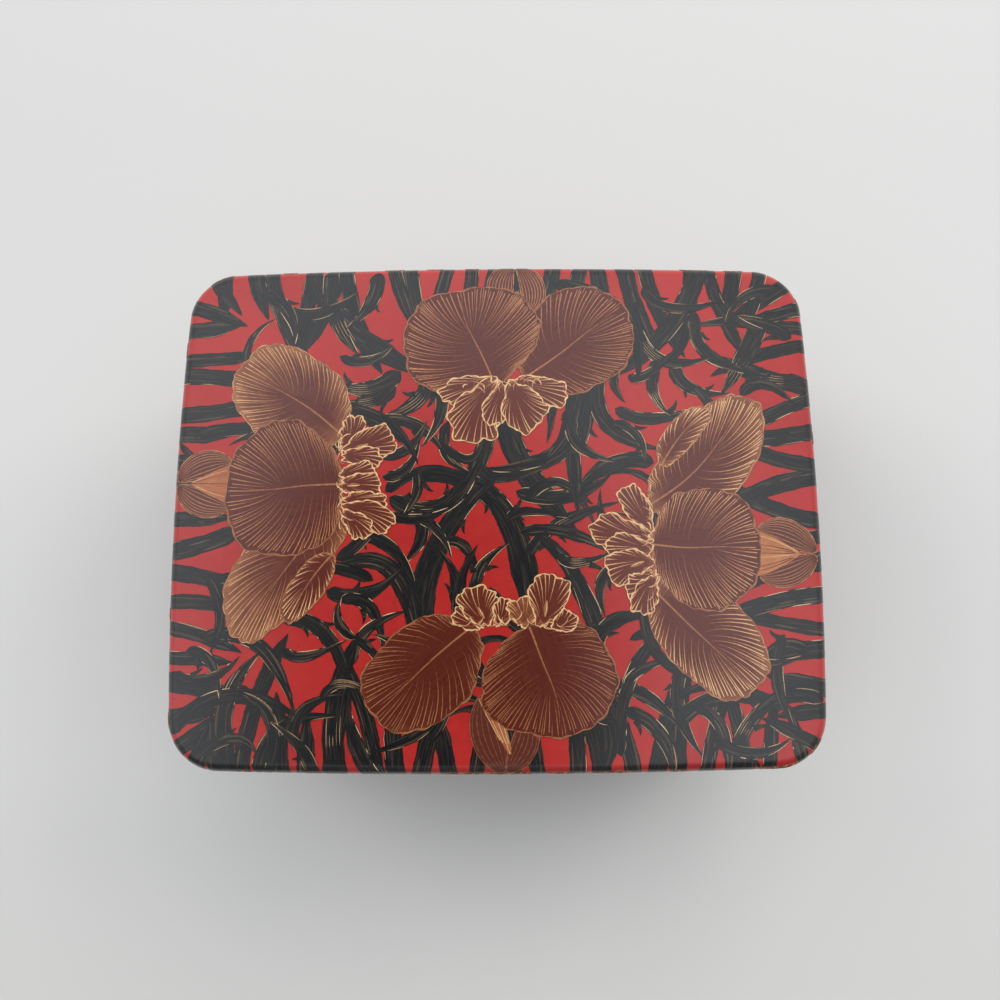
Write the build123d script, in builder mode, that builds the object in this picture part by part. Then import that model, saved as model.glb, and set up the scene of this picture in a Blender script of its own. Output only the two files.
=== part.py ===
from build123d import *
import os

# A lacquered pasteboard trinket box with a lift-off lid, in millimetres.
# X runs along the box, Y from front to back, Z up from the rim that it stands on.

# Plan of the closed box, over the lacquer
length = 127.0  # over the middles of the two end sides
depth = 100.0  # over the middles of the two long sides
end_side_bow = 1.4  # how far an end side swells out past its corners
long_side_bow = 0.9  # the same for a long side
corner_radius = 10.2
inner_corner = 1.5  # no inside corner is sharper

# Heights
base_height = 38.0  # standing rim to seam
lid_wall_height = 15.0  # seam to the seat of the lid's top board
lid_edge_height = 3.4  # board's edge above that seat, at the middle of an end side
lid_crown = 1.2  # rise of the top from the middle of an end side to the centre

# Walls and boards
wall_thickness = 3.0  # the wound tube that both side walls are cut from
lid_board_thickness = 3.0
floor_thickness = 3.0
floor_recess = 0.8  # floor board above the standing rim
neck_thickness = 2.0
neck_stand = 7.0  # neck above the seam

# Seating rib under the lid's board
rib_width = 4.0
rib_depth = 1.5

# Fits
glue_gap = 0.05  # between glued pieces
lid_clearance = 0.3  # between neck and lid all round

# Edges
lid_roll = 2.2  # rolled edge between top and side
base_roll = 1.5  # rolled edge under the base
seam_round = 0.4  # both outer edges at the seam
neck_lip = 0.8  # both edges of the neck's top
rib_cove = 1.0  # inner edge of the seating rib

# Worked out from the sizes above
half_length = length / 2
half_depth = depth / 2
end_side_radius = (half_depth**2 + end_side_bow**2) / (2 * end_side_bow)
long_side_radius = (half_length**2 + long_side_bow**2) / (2 * long_side_bow)
bowed_sides = (  # direction from the middle to the arc's centre, reach of the side, its radius
    (0, half_length, end_side_radius),
    (90, half_depth, long_side_radius),
    (180, half_length, end_side_radius),
    (270, half_depth, long_side_radius),
)
seam_height = base_height
lid_seat = seam_height + lid_wall_height
lid_top = lid_seat + lid_edge_height + lid_crown
floor_top = floor_recess + floor_thickness
neck_inset = wall_thickness + glue_gap
lid_bore_inset = neck_inset - lid_clearance
rib_inset = lid_bore_inset + glue_gap
crown_radius = (half_length**2 + lid_crown**2) / (2 * lid_crown)

# The board's edge is lowest at the corners, and its roll has to fit there
corner_drop = lid_crown * (half_length**2 + half_depth**2) / half_length**2
lowest_edge = lid_edge_height + lid_crown - corner_drop
roll_share = 0.9  # most of an edge's height that its roll may take
rim_share = 0.45  # most of a rim's width that one of its two rounded edges may take


def outline(inset):
    """The box's plan, four bowed sides and round corners, drawn in by inset."""
    with BuildSketch() as plan:
        Rectangle(length, depth)
        for turn, reach, radius in bowed_sides:
            with PolarLocations(radius - reach, 1, start_angle=turn):
                Circle(radius - inset, mode=Mode.INTERSECT)
        fillet(plan.vertices(), max(corner_radius - inset, inner_corner))
    return plan.sketch


def dome(top):
    """A ball with the lid's crown and its highest point at top, turned so that no seam crosses the lid."""
    with BuildPart() as ball:
        with Locations((0, 0, top - crown_radius)):
            Sphere(crown_radius, rotation=(90, 0, 0))
    return ball.part


# Base wall: the lower length of the wound tube
with BuildPart() as base_wall:
    with BuildSketch():
        add(outline(0))
        add(outline(wall_thickness), mode=Mode.SUBTRACT)
    extrude(amount=base_height)
    standing_rim = base_wall.faces().sort_by(Axis.Z)[0]
    fillet(standing_rim.outer_wire().edges(), min(base_roll, wall_thickness * roll_share))
    seam_rim = base_wall.faces().sort_by(Axis.Z)[-1]
    fillet(seam_rim.outer_wire().edges(), min(seam_round, wall_thickness * rim_share))

# Floor board: glued inside the wall, a little above the table
with BuildPart() as base_floor:
    with BuildSketch(Plane.XY.offset(floor_recess)):
        add(outline(neck_inset))
    extrude(amount=floor_thickness)

# Neck: the liner that stands on the floor and guides the lid
with BuildPart() as neck:
    with BuildSketch(Plane.XY.offset(floor_top)):
        add(outline(neck_inset))
        add(outline(neck_inset + neck_thickness), mode=Mode.SUBTRACT)
    extrude(amount=seam_height + neck_stand - floor_top)
    neck_rim = neck.faces().sort_by(Axis.Z)[-1]
    fillet(neck_rim.edges(), min(neck_lip, neck_thickness * rim_share))

# Lid wall: the upper length of the same tube, eased inside to pass the neck
with BuildPart() as lid_wall:
    with BuildSketch(Plane.XY.offset(seam_height)):
        add(outline(0))
        add(outline(lid_bore_inset), mode=Mode.SUBTRACT)
    extrude(amount=lid_wall_height)
    lid_rim = lid_wall.faces().sort_by(Axis.Z)[0]
    fillet(lid_rim.outer_wire().edges(), min(seam_round, lid_bore_inset * rim_share))

# Lid board: crowned on top and hollowed alike below, with a rib that seats in the lid wall
with BuildPart() as lid_board:
    with BuildSketch(Plane.XY.offset(lid_seat)):
        add(outline(0))
    extrude(amount=lid_top - lid_seat)
    add(dome(lid_top), mode=Mode.INTERSECT)
    crown = lid_board.faces().sort_by(Axis.Z)[-1]
    fillet(crown.edges(), min(lid_roll, lowest_edge * roll_share))
    with BuildSketch(Plane.XY.offset(lid_seat)):
        add(outline(rib_inset))
    extrude(amount=-rib_depth)
    with BuildPart(mode=Mode.PRIVATE) as hollow:
        with BuildSketch(Plane.XY.offset(lid_seat - rib_depth)):
            add(outline(rib_inset + rib_width))
        extrude(amount=rib_depth + lid_edge_height)
        add(dome(lid_top - lid_board_thickness), mode=Mode.INTERSECT)
    add(hollow.part, mode=Mode.SUBTRACT)
    rib_face = lid_board.faces().filter_by(Axis.Z).sort_by(Axis.Z)[0]
    rib_edges = rib_face.inner_wires()[0].edges()
    fillet(rib_edges, min(rib_cove, rib_depth * roll_share, rib_width * roll_share))

pieces = {
    "base_wall": base_wall,
    "base_floor": base_floor,
    "neck": neck,
    "lid_wall": lid_wall,
    "lid_board": lid_board,
}
os.makedirs("parts", exist_ok=True)
for name, piece in pieces.items():
    piece.part.label = name
    export_step(piece.part, f"parts/{name}.step")
    print(name, "volume", round(piece.part.volume), "mm3")
print("closed box", length, "by", depth, "by", round(lid_top, 2), "mm")
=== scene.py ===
import math

import bpy
import numpy as np
from mathutils import Euler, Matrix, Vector


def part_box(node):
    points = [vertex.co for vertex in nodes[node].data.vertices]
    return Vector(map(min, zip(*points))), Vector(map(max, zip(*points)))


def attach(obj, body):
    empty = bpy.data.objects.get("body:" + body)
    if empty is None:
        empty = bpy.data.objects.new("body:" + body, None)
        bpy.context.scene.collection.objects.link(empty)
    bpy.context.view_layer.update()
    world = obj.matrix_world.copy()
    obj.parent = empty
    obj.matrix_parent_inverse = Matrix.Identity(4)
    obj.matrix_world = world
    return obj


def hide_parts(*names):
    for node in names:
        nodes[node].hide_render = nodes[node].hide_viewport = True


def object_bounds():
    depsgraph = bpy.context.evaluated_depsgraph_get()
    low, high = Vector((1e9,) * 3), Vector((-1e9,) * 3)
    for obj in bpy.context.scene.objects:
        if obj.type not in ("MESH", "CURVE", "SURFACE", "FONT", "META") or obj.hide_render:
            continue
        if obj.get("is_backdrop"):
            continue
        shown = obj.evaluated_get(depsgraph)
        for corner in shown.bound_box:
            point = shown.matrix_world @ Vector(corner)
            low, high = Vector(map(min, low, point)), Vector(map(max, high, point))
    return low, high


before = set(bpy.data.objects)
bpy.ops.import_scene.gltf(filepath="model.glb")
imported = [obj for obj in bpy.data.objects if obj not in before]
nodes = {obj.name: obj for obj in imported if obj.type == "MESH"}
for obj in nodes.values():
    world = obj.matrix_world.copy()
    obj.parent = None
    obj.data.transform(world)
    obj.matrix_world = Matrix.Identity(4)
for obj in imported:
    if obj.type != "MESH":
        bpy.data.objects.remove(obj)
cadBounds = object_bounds()
dice = np.random.default_rng(41)
mm = 0.001


def fromPicture(red, green, blue):
    # a display colour 0..255 as the linear colour that a shader takes
    value = np.array([red, green, blue]) / 255
    linear = np.where(value <= 0.04045, value / 12.92, ((value + 0.055) / 1.055) ** 2.4)
    return (*linear.tolist(), 1.0)


# The box's form, in millimetres. Heights come from the frame.
boxForm = {
    "halfLength": 63.5,
    "halfDepth": 50.0,
    "endBow": 1.4,
    "longBow": 0.9,
    "corner": 10.2,
    "crownRise": 1.2,
    "lidRoll": 2.2,
    "baseRoll": 1.5,
    "seamRound": 0.4,
    "wall": 3.0,
    "lidBore": 2.75,
    "ribGap": 0.05,  # the glue film between the lid's wall and the rib under its top
    "ribDrop": 1.5,
    "ribWidth": 4.0,
    "cove": 1.0,
    "boardThick": 3.0,
    "seamGap": 0.3,  # between the seam and the paint on the lid's side
}
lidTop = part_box("lid_board")[1].z / mm
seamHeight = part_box("base_wall")[1].z / mm
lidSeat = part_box("lid_wall")[1].z / mm
crownRadius = (boxForm["halfLength"] ** 2 + boxForm["crownRise"] ** 2) / (2 * boxForm["crownRise"])


def planArcs(form):
    # The outline is four shallow side arcs and four corner arcs, each tangent to the next.
    # Gives one row an arc, anticlockwise from the +X end: centre x and y, radius, first and last angle.
    a, b, rc = form["halfLength"], form["halfDepth"], form["corner"]
    endRadius = (b**2 + form["endBow"] ** 2) / (2 * form["endBow"])
    longRadius = (a**2 + form["longBow"] ** 2) / (2 * form["longBow"])
    endX, longY = a - endRadius, b - longRadius
    kx, ky = a - rc, b - rc
    for _ in range(30):  # where the side arcs, drawn in by the corner's radius, cross
        kx = endX + math.sqrt((endRadius - rc) ** 2 - ky**2)
        ky = longY + math.sqrt((longRadius - rc) ** 2 - kx**2)
    e = math.atan2(ky, kx - endX)
    s = math.atan2(ky - longY, kx)
    pi = math.pi
    return np.array([
        (endX, 0, endRadius, -e, e),
        (kx, ky, rc, e, s),
        (0, longY, longRadius, s, pi - s),
        (-kx, ky, rc, pi - s, pi - e),
        (-endX, 0, endRadius, pi - e, pi + e),
        (-kx, -ky, rc, pi + e, pi + s),
        (0, -longY, longRadius, pi + s, 2 * pi - s),
        (kx, -ky, rc, 2 * pi - s, 2 * pi - e),
    ])


arcs = planArcs(boxForm)
arcEnds = np.concatenate([[0], np.cumsum(arcs[:, 2] * (arcs[:, 4] - arcs[:, 3]))])
perimeter = arcEnds[-1]


def outlineAt(run, inset=0.0):
    # Point and outward normal at a distance run along the outline, drawn in by inset:
    # centre + (radius - inset) * (cos, sin) of the arc that the distance falls in.
    run = np.mod(run, perimeter)
    k = np.clip(np.searchsorted(arcEnds, run, side="right") - 1, 0, 7)
    arc = arcs[k]
    angle = arc[..., 3] + (run - arcEnds[k]) / arc[..., 2]
    normal = np.stack([np.cos(angle), np.sin(angle)], -1)
    reach = np.maximum(arc[..., 2] - inset, 0.01)
    return arc[..., :2] + normal * reach[..., None], normal


def insetAt(x, y):
    # Distance inside the outline, and the outward normal. The outline is every point within a corner's
    # radius of the inner shape, whose corners are the corner arcs' centres.
    ax, ay = np.abs(x), np.abs(y)
    rc = boxForm["corner"]
    (endX, _, endRadius, _, e), (kx, ky, _, _, s), (_, longY, longRadius, _, _) = arcs[0], arcs[1], arcs[2]
    toEnd = np.stack([ax - endX, ay], -1)
    toLong = np.stack([ax, ay - longY], -1)
    toCorner = np.stack([ax - kx, ay - ky], -1)
    fromEnd, fromLong = np.linalg.norm(toEnd, axis=-1), np.linalg.norm(toLong, axis=-1)
    fromCorner = np.linalg.norm(toCorner, axis=-1)
    bearing = np.arctan2(toCorner[..., 1], toCorner[..., 0])
    inCorner = (bearing > e) & (bearing < s)
    byEnd = fromEnd - endRadius > fromLong - longRadius
    inset = np.where(inCorner, rc - fromCorner, np.where(byEnd, endRadius - fromEnd, longRadius - fromLong))
    n = np.where(byEnd[..., None], toEnd / fromEnd[..., None], toLong / fromLong[..., None])
    n = np.where(inCorner[..., None], toCorner / np.maximum(fromCorner, 1e-9)[..., None], n)
    return inset, np.stack([n[..., 0] * np.sign(x), n[..., 1] * np.sign(y)], -1)


def crownHeight(x, y):
    # the top is a cap of a large ball
    return lidTop - crownRadius + np.sqrt(crownRadius**2 - x**2 - y**2)


def onLid(x, y, lift=0.0):
    # A plan point goes straight up to the crowned top. Past the start of the rolled edge its distance is
    # laid along the quarter circle of the roll and then straight down the side.
    roll = boxForm["lidRoll"]
    inset, n = insetAt(x, y)
    over = np.maximum(roll - inset, 0)
    footX, footY = x - n[..., 0] * over, y - n[..., 1] * over
    turn = np.minimum(over / roll, math.pi / 2)
    down = np.maximum(over - roll * math.pi / 2, 0)
    out = (roll + lift) * np.sin(turn)
    z = crownHeight(footX, footY) - roll + (roll + lift) * np.cos(turn) - down
    z = np.maximum(z, seamHeight + boxForm["seamGap"])
    return np.stack([footX + n[..., 0] * out, footY + n[..., 1] * out, z], -1) * mm


def onBase(run, z, lift=0.0):
    # a distance along the outline and a height; the foot turns in along the rolled lower edge
    roll = boxForm["baseRoll"]
    below = np.maximum(roll - z, 0)
    turn = np.minimum(below / roll, math.pi / 2)
    point, n = outlineAt(run)
    shift = (roll + lift) * np.cos(turn) - roll
    height = np.where(below > 0, roll - (roll + lift) * np.sin(turn), z)
    return np.concatenate([point + n * shift[..., None], height[..., None]], -1) * mm


print("form ready, outline", round(perimeter, 1), "mm round")


def piece(name, points, faces, materials, body, uv=None, tone=None, which=None, crease=None):
    # One mesh from whole arrays: points in metres, faces as rows of corners, uv and tone a value a point.
    mesh = bpy.data.meshes.new(name)
    rows = faces.tolist() if hasattr(faces, "tolist") else faces
    mesh.from_pydata(points.reshape(-1, 3).tolist(), [], rows)
    if uv is not None:
        corners = np.zeros(len(mesh.loops), np.int32)
        mesh.loops.foreach_get("vertex_index", corners)
        layer = mesh.uv_layers.new(name="UVMap")
        layer.data.foreach_set("uv", uv.reshape(-1, 2)[corners].astype(np.float32).ravel())
    if tone is not None:
        shade = mesh.attributes.new("tone", "FLOAT", "POINT")
        shade.data.foreach_set("value", tone.astype(np.float32).ravel())
    mesh.shade_smooth()
    if crease:
        mesh.set_sharp_from_angle(angle=math.radians(crease))
    for material in materials:
        mesh.materials.append(material)
    if which is not None:
        mesh.polygons.foreach_set("material_index", np.asarray(which, np.int32))
    made = bpy.data.objects.new(name, mesh)
    bpy.context.scene.collection.objects.link(made)
    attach(made, body)
    return made


# Shader helpers
def newMaterial(name, roughness, coat=0.92, coatRoughness=0.10, specular=0.12):
    material = bpy.data.materials.new(name)
    material.use_nodes = True
    nodeTree = material.node_tree
    shader = nodeTree.nodes["Principled BSDF"]
    shader.inputs["Roughness"].default_value = roughness
    shader.inputs["Coat Weight"].default_value = coat
    shader.inputs["Coat Roughness"].default_value = coatRoughness
    shader.inputs["Specular IOR Level"].default_value = specular
    return material, nodeTree, shader


def add(tree, kind, settings=None, **inputs):
    # a node with its settings and its sockets, each socket given a value or another node's output
    node = tree.nodes.new(kind)
    for key, value in (settings or {}).items():
        setattr(node, key, value)
    for key, value in inputs.items():
        socket = node.inputs[int(key[1:]) if key[0] == "i" and key[1:].isdigit() else key]
        if isinstance(value, bpy.types.NodeSocket):
            tree.links.new(value, socket)
        else:
            socket.default_value = value
    return node


def blendOf(tree, share, first, second, kind="MIX"):
    # first and second are sockets 6 and 7 of the Mix node, the ones for colours
    mix = add(tree, "ShaderNodeMix", {"data_type": "RGBA", "blend_type": kind}, i0=share, i6=first, i7=second)
    return mix.outputs[2]


def mathOf(tree, operation, *values, clamp=False):
    sockets = {"i" + str(index): value for index, value in enumerate(values)}
    return add(tree, "ShaderNodeMath", {"operation": operation, "use_clamp": clamp}, **sockets).outputs[0]


def noiseOf(tree, place, scale, detail, roughness=0.5):
    node = add(tree, "ShaderNodeTexNoise", Vector=place, Scale=scale, Detail=detail, Roughness=roughness)
    return node.outputs["Fac"]


def ramp(tree, value, stops):
    node = add(tree, "ShaderNodeValToRGB", i0=value)
    elements = node.color_ramp.elements
    for index, (place, colour) in enumerate(stops):
        element = elements[index] if index < 2 else elements.new(place)
        element.position = place
        element.color = colour
    return node.outputs[0]


def grey(value):
    return (value, value, value, 1.0)


def mask(tree, value, start, low, end, high):
    # the grey low up to start, high from end on, and even between them
    return ramp(tree, value, [(start, grey(low)), (end, grey(high))])


def groupOf(name, inputs, outputs):
    # an empty node group with named sockets, and its start and end nodes
    group = bpy.data.node_groups.new(name, "ShaderNodeTree")
    for way, sockets in (("INPUT", inputs), ("OUTPUT", outputs)):
        for label, kind in sockets:
            group.interface.new_socket(label, in_out=way, socket_type="NodeSocket" + kind)
    return group, group.nodes.new("NodeGroupInput").outputs, group.nodes.new("NodeGroupOutput").inputs


def useGroup(tree, group, place, values):
    # a group's node at a place, with values for its other sockets by name
    node = add(tree, "ShaderNodeGroup", {"node_tree": group}, Place=place)
    for label, value in values.items():
        node.inputs[label].default_value = value
    return node.outputs


def objectPlace(tree):
    return add(tree, "ShaderNodeTexCoord").outputs["Object"]


def rangeOf(tree, place, start, end, low):
    # low to 1 as the Y of a place goes from start to end
    y = add(tree, "ShaderNodeSeparateXYZ", i0=place).outputs["Y"]
    return add(tree, "ShaderNodeMapRange", i0=y, i1=start, i2=end, i3=low, i4=1.0).outputs[0]


def strokePlace(tree):
    # a stroke's own place along and across itself, and its own shade
    tone = add(tree, "ShaderNodeAttribute", {"attribute_name": "tone"}).outputs["Fac"]
    return add(tree, "ShaderNodeTexCoord").outputs["UV"], tone


def surfaceOf(tree, shader, colour, rough, relief=None):
    # rough is a mask's parts, relief a bump's strength, depth and height
    tree.links.new(colour, shader.inputs["Base Color"])
    tree.links.new(mask(tree, *rough), shader.inputs["Roughness"])
    if relief:
        strength, depth, height = relief
        bump = add(tree, "ShaderNodeBump", Strength=strength, Distance=depth, Height=height)
        tree.links.new(bump.outputs[0], shader.inputs["Normal"])


print("helpers ready")

# Materials. Every colour is given as a display colour of the lacquer in soft light.
lacquerLook = {
    "red": fromPicture(163, 37, 33),
    "redDeep": fromPicture(148, 30, 28),
    "redWarm": fromPicture(174, 44, 38),
    "pinHole": fromPicture(96, 20, 18),
    "board": fromPicture(196, 132, 84),
    "inside": fromPicture(24, 22, 22),
    "insideThin": fromPicture(46, 30, 24),
    "dust": fromPicture(70, 56, 46),
}


def brushFlow():
    # Colour drift of a hand-laid coat: broad clouds and fine strands along the brush.
    inputs = [("Place", "Vector"), ("Cloud Scale", "Float"), ("Strand Scale", "Float")]
    group, start, end = groupOf("brushFlow", inputs, [("Cloud", "Float"), ("Strand", "Float")])
    for label, detail in (("Cloud", 4.0), ("Strand", 3.0)):
        group.links.new(noiseOf(group, start["Place"], start[label + " Scale"], detail), end[label])
    return group


def rubbedEdge():
    # Where the box's edges have rubbed through: near a seam or rim and inside a broken noise.
    inputs = [("Place", "Vector"), ("Height", "Float"), ("Reach", "Float"), ("Amount", "Float")]
    group, start, end = groupOf("rubbedEdge", inputs, [("Mask", "Float")])
    height = add(group, "ShaderNodeSeparateXYZ", i0=start["Place"]).outputs["Z"]
    away = mathOf(group, "ABSOLUTE", mathOf(group, "SUBTRACT", height, start["Height"]))
    patch = noiseOf(group, start["Place"], 70.0, 6.0, 0.65)
    fade = mathOf(group, "ADD", mathOf(group, "DIVIDE", away, start["Reach"]), patch)
    room = mathOf(group, "SUBTRACT", start["Amount"], fade)
    group.links.new(mathOf(group, "MULTIPLY", room, 14.0, clamp=True), end["Mask"])
    return group


flowGroup, rubbedGroup = brushFlow(), rubbedEdge()


def redLacquer():
    # Cinnabar red laid by brush: clouds of deeper and warmer red, faint brush lines, a few pin holes.
    material, tree, shader = newMaterial("redLacquer", 0.32)
    place = objectPlace(tree)
    flow = useGroup(tree, flowGroup, place, {"Cloud Scale": 38.0, "Strand Scale": 420.0})
    deep = mask(tree, flow["Cloud"], 0.36, 0.0, 0.66, 0.75)
    colour = blendOf(tree, deep, lacquerLook["red"], lacquerLook["redDeep"])
    colour = blendOf(tree, mask(tree, flow["Strand"], 0.45, 0.0, 0.72, 0.3), colour, lacquerLook["redWarm"])
    pin = add(tree, "ShaderNodeTexVoronoi", Vector=place, Scale=260.0).outputs["Distance"]
    colour = blendOf(tree, mask(tree, pin, 0.035, 0.6, 0.06, 0.0), colour, lacquerLook["pinHole"])
    seam = {"Height": seamHeight * mm, "Reach": 0.0035, "Amount": 0.62}
    worn = useGroup(tree, rubbedGroup, place, seam)
    colour = blendOf(tree, worn["Mask"], colour, lacquerLook["board"])
    rough = (flow["Strand"], 0.2, 0.26, 0.8, 0.42)
    surfaceOf(tree, shader, colour, rough, (0.05, 0.0002, flow["Strand"]))
    return material


def insideLacquer():
    # Thin black-brown lacquer inside the box, with the paper's fibre and dust showing through.
    material, tree, shader = newMaterial("insideLacquer", 0.42, coat=0.6, coatRoughness=0.18)
    flow = useGroup(tree, flowGroup, objectPlace(tree), {"Cloud Scale": 30.0, "Strand Scale": 600.0})
    thin = mask(tree, flow["Cloud"], 0.42, 0.0, 0.75, 0.8)
    colour = blendOf(tree, thin, lacquerLook["inside"], lacquerLook["insideThin"])
    colour = blendOf(tree, mask(tree, flow["Strand"], 0.58, 0.0, 0.75, 0.35), colour, lacquerLook["dust"])
    rough = (flow["Cloud"], 0.3, 0.34, 0.75, 0.55)
    surfaceOf(tree, shader, colour, rough, (0.3, 0.0002, flow["Strand"]))
    return material


redCoat, insideCoat = redLacquer(), insideLacquer()
for name in ("neck", "base_floor"):
    nodes[name].data.materials.clear()
    nodes[name].data.materials.append(insideCoat)
print("body lacquers ready")

# The body's own meshes, rings round the outline
bodyMesh = {
    "sideSteps": 44,
    "cornerSteps": 18,
    "rollSteps": 14,
    "edgeSteps": 6,
    "capRings": 16,
    "seamRow": 8,  # mm from the seam to the next row of the lid's wall
    "outerRows": (26, 14),  # heights of the rows between the base's seam and foot, outside
    "innerRow": 20,  # and inside
    "crease": 40,  # degrees from which an edge is drawn sharp
}


def ringRuns():
    # the distances round the outline that every ring uses, evenly spaced on each arc
    counts = [bodyMesh["sideSteps"], bodyMesh["cornerSteps"]] * 4
    spans = zip(arcEnds[:-1], arcEnds[1:], counts)
    return np.concatenate([np.linspace(first, last, count, endpoint=False) for first, last, count in spans])


runs = ringRuns()


def ring(inset, z):
    # one closed ring: the outline drawn in by inset, at height z, one value or one a point
    point, _ = outlineAt(runs, inset)
    return np.concatenate([point, np.broadcast_to(np.asarray(z, float), (len(runs),))[:, None]], -1)


def capRings(inset, drop, outward):
    # rings that shrink a border ring evenly to the middle, lying on the crown or drop below it
    shares = np.linspace(0, 1, bodyMesh["capRings"] + 1)[1:]
    shares = shares if outward else shares[::-1]
    edge = outlineAt(runs, inset)[0]
    return [np.concatenate([edge * s, (crownHeight(*(edge * s).T) - drop)[:, None]], -1) for s in shares]


def quarter(inset, z, radius, first, last, steps):
    # inset and height of points on an arc about the centre (inset, z); 0 degrees is outward, 90 up
    angle = np.radians(np.linspace(first, last, steps))
    return [(inset - radius * math.cos(a), z + radius * math.sin(a)) for a in angle]


def bandFaces(ringCount, closed):
    # quads between neighbouring rings, the last joined to the first where the section is closed
    n = len(runs)
    i = np.arange(ringCount if closed else ringCount - 1)[:, None]
    j = np.arange(n)[None, :]
    a, b = i * n + j, i * n + (j + 1) % n
    c, d = ((i + 1) % ringCount) * n + (j + 1) % n, ((i + 1) % ringCount) * n + j
    return np.stack([a, d, c, b], -1).reshape(-1, 4)


def tube(name, section, body, outside):
    # a closed section of inset and height pairs carried round the outline; the first rows are painted
    rings = [ring(inset, z) for inset, z in section]
    faces = bandFaces(len(rings), True)
    which = (np.arange(len(rings)) >= outside).repeat(len(runs)).astype(int)
    coats = [redCoat, insideCoat]
    return piece(name, np.stack(rings) * mm, faces, coats, body, which=which, crease=bodyMesh["crease"])


def lidTopMesh():
    # Top cap, rolled edge, side down to the seat, seating rib, cove and hollow cap, as one closed skin.
    roll, bore = boxForm["lidRoll"], boxForm["lidBore"]
    foot = outlineAt(runs, roll)[0]
    footZ = crownHeight(*foot.T)
    rings = capRings(roll, 0.0, True)
    for turn in np.radians(np.linspace(0, 90, bodyMesh["rollSteps"] + 1)[1:]):
        rings.append(ring(roll - roll * math.sin(turn), footZ - roll + roll * math.cos(turn)))
    rings.append(ring(0, lidSeat))
    painted = len(rings)
    ribEdge, ribFoot, cove = bore + boxForm["ribGap"], lidSeat - boxForm["ribDrop"], boxForm["cove"]
    ribInner = ribEdge + boxForm["ribWidth"]
    rings += [ring(ribEdge, lidSeat), ring(ribEdge, ribFoot), ring(ribInner - cove, ribFoot)]
    for turn in np.radians(np.linspace(0, 90, bodyMesh["edgeSteps"] + 1)[1:]):
        rings.append(ring(ribInner - cove + cove * math.sin(turn), ribFoot + cove - cove * math.cos(turn)))
    thick = boxForm["boardThick"]
    rings += capRings(ribInner, thick, False)
    count = len(rings)
    points = np.concatenate([np.concatenate(rings), [[0, 0, lidTop]], [[0, 0, lidTop - thick]]]) * mm
    n = len(runs)
    j = np.arange(n)
    top, under = count * n, count * n + 1
    faces = bandFaces(count, False).tolist()
    faces += np.stack([np.full(n, top), j, (j + 1) % n], -1).tolist()
    last = (count - 1) * n
    faces += np.stack([np.full(n, under), last + (j + 1) % n, last + j], -1).tolist()
    bands = (np.arange(count - 1) >= painted - 1).repeat(n)
    which = np.concatenate([bands, np.zeros(n), np.ones(n)]).astype(int)
    coats = [redCoat, insideCoat]
    return piece("lidTop", points, faces, coats, "lid", which=which, crease=bodyMesh["crease"])


roundEdge = boxForm["seamRound"]
wall, bore, foot = boxForm["wall"], boxForm["lidBore"], boxForm["baseRoll"]
lidTopPiece = lidTopMesh()
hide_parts("lid_board")
# outer side downwards from the seat, seam edge, then up the bore
steps, rowZ = bodyMesh["edgeSteps"], seamHeight + bodyMesh["seamRow"]
lidWallSection = [(0, lidSeat), (0, rowZ)]
lidWallSection += quarter(roundEdge, seamHeight + roundEdge, roundEdge, 0, -90, steps)
lidWallPainted = len(lidWallSection)
lidWallSection += [(bore, seamHeight), (bore, rowZ), (bore, lidSeat)]
lidWallPiece = tube("lidSide", lidWallSection, "lid", lidWallPainted - 1)
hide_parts("lid_wall")
# the base's the same way, from its seam to its foot, then up inside
baseSection = quarter(roundEdge, seamHeight - roundEdge, roundEdge, 90, 0, steps)
baseSection += [(0, z) for z in bodyMesh["outerRows"]]
baseSection += quarter(foot, foot, foot, 0, -90, bodyMesh["rollSteps"])
basePainted = len(baseSection)
baseSection += [(wall, 0), (wall, bodyMesh["innerRow"]), (wall, seamHeight)]
basePiece = tube("baseSide", baseSection, "base", basePainted)
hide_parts("base_wall")
print("body meshes ready")

# Camera: nearly straight above, a little towards the front
viewPlace = {
    "foot": (1.63, -19.22),  # plan point straight below the camera, mm
    "height": 201.7,  # above the table, mm
    "lens": 27.04,  # on a 36 mm sensor
    "tilt": 8.208,  # degrees up from straight down
    "yaw": 0.34,
    "roll": -0.31,
}


def setCamera():
    data = bpy.data.cameras.new("viewCamera")
    data.lens, data.sensor_width = viewPlace["lens"], 36.0
    data.clip_start, data.clip_end = 0.01, 20.0
    camera = bpy.data.objects.new("viewCamera", data)
    bpy.context.scene.collection.objects.link(camera)
    camera.location = (viewPlace["foot"][0] * mm, viewPlace["foot"][1] * mm, viewPlace["height"] * mm)
    tilt, yaw, roll = (math.radians(viewPlace[key]) for key in ("tilt", "yaw", "roll"))
    camera.rotation_euler = Euler((tilt, yaw, roll), "XYZ")
    bpy.context.scene.camera = camera
    bpy.context.scene.view_settings.view_transform = "Standard"


setCamera()

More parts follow.
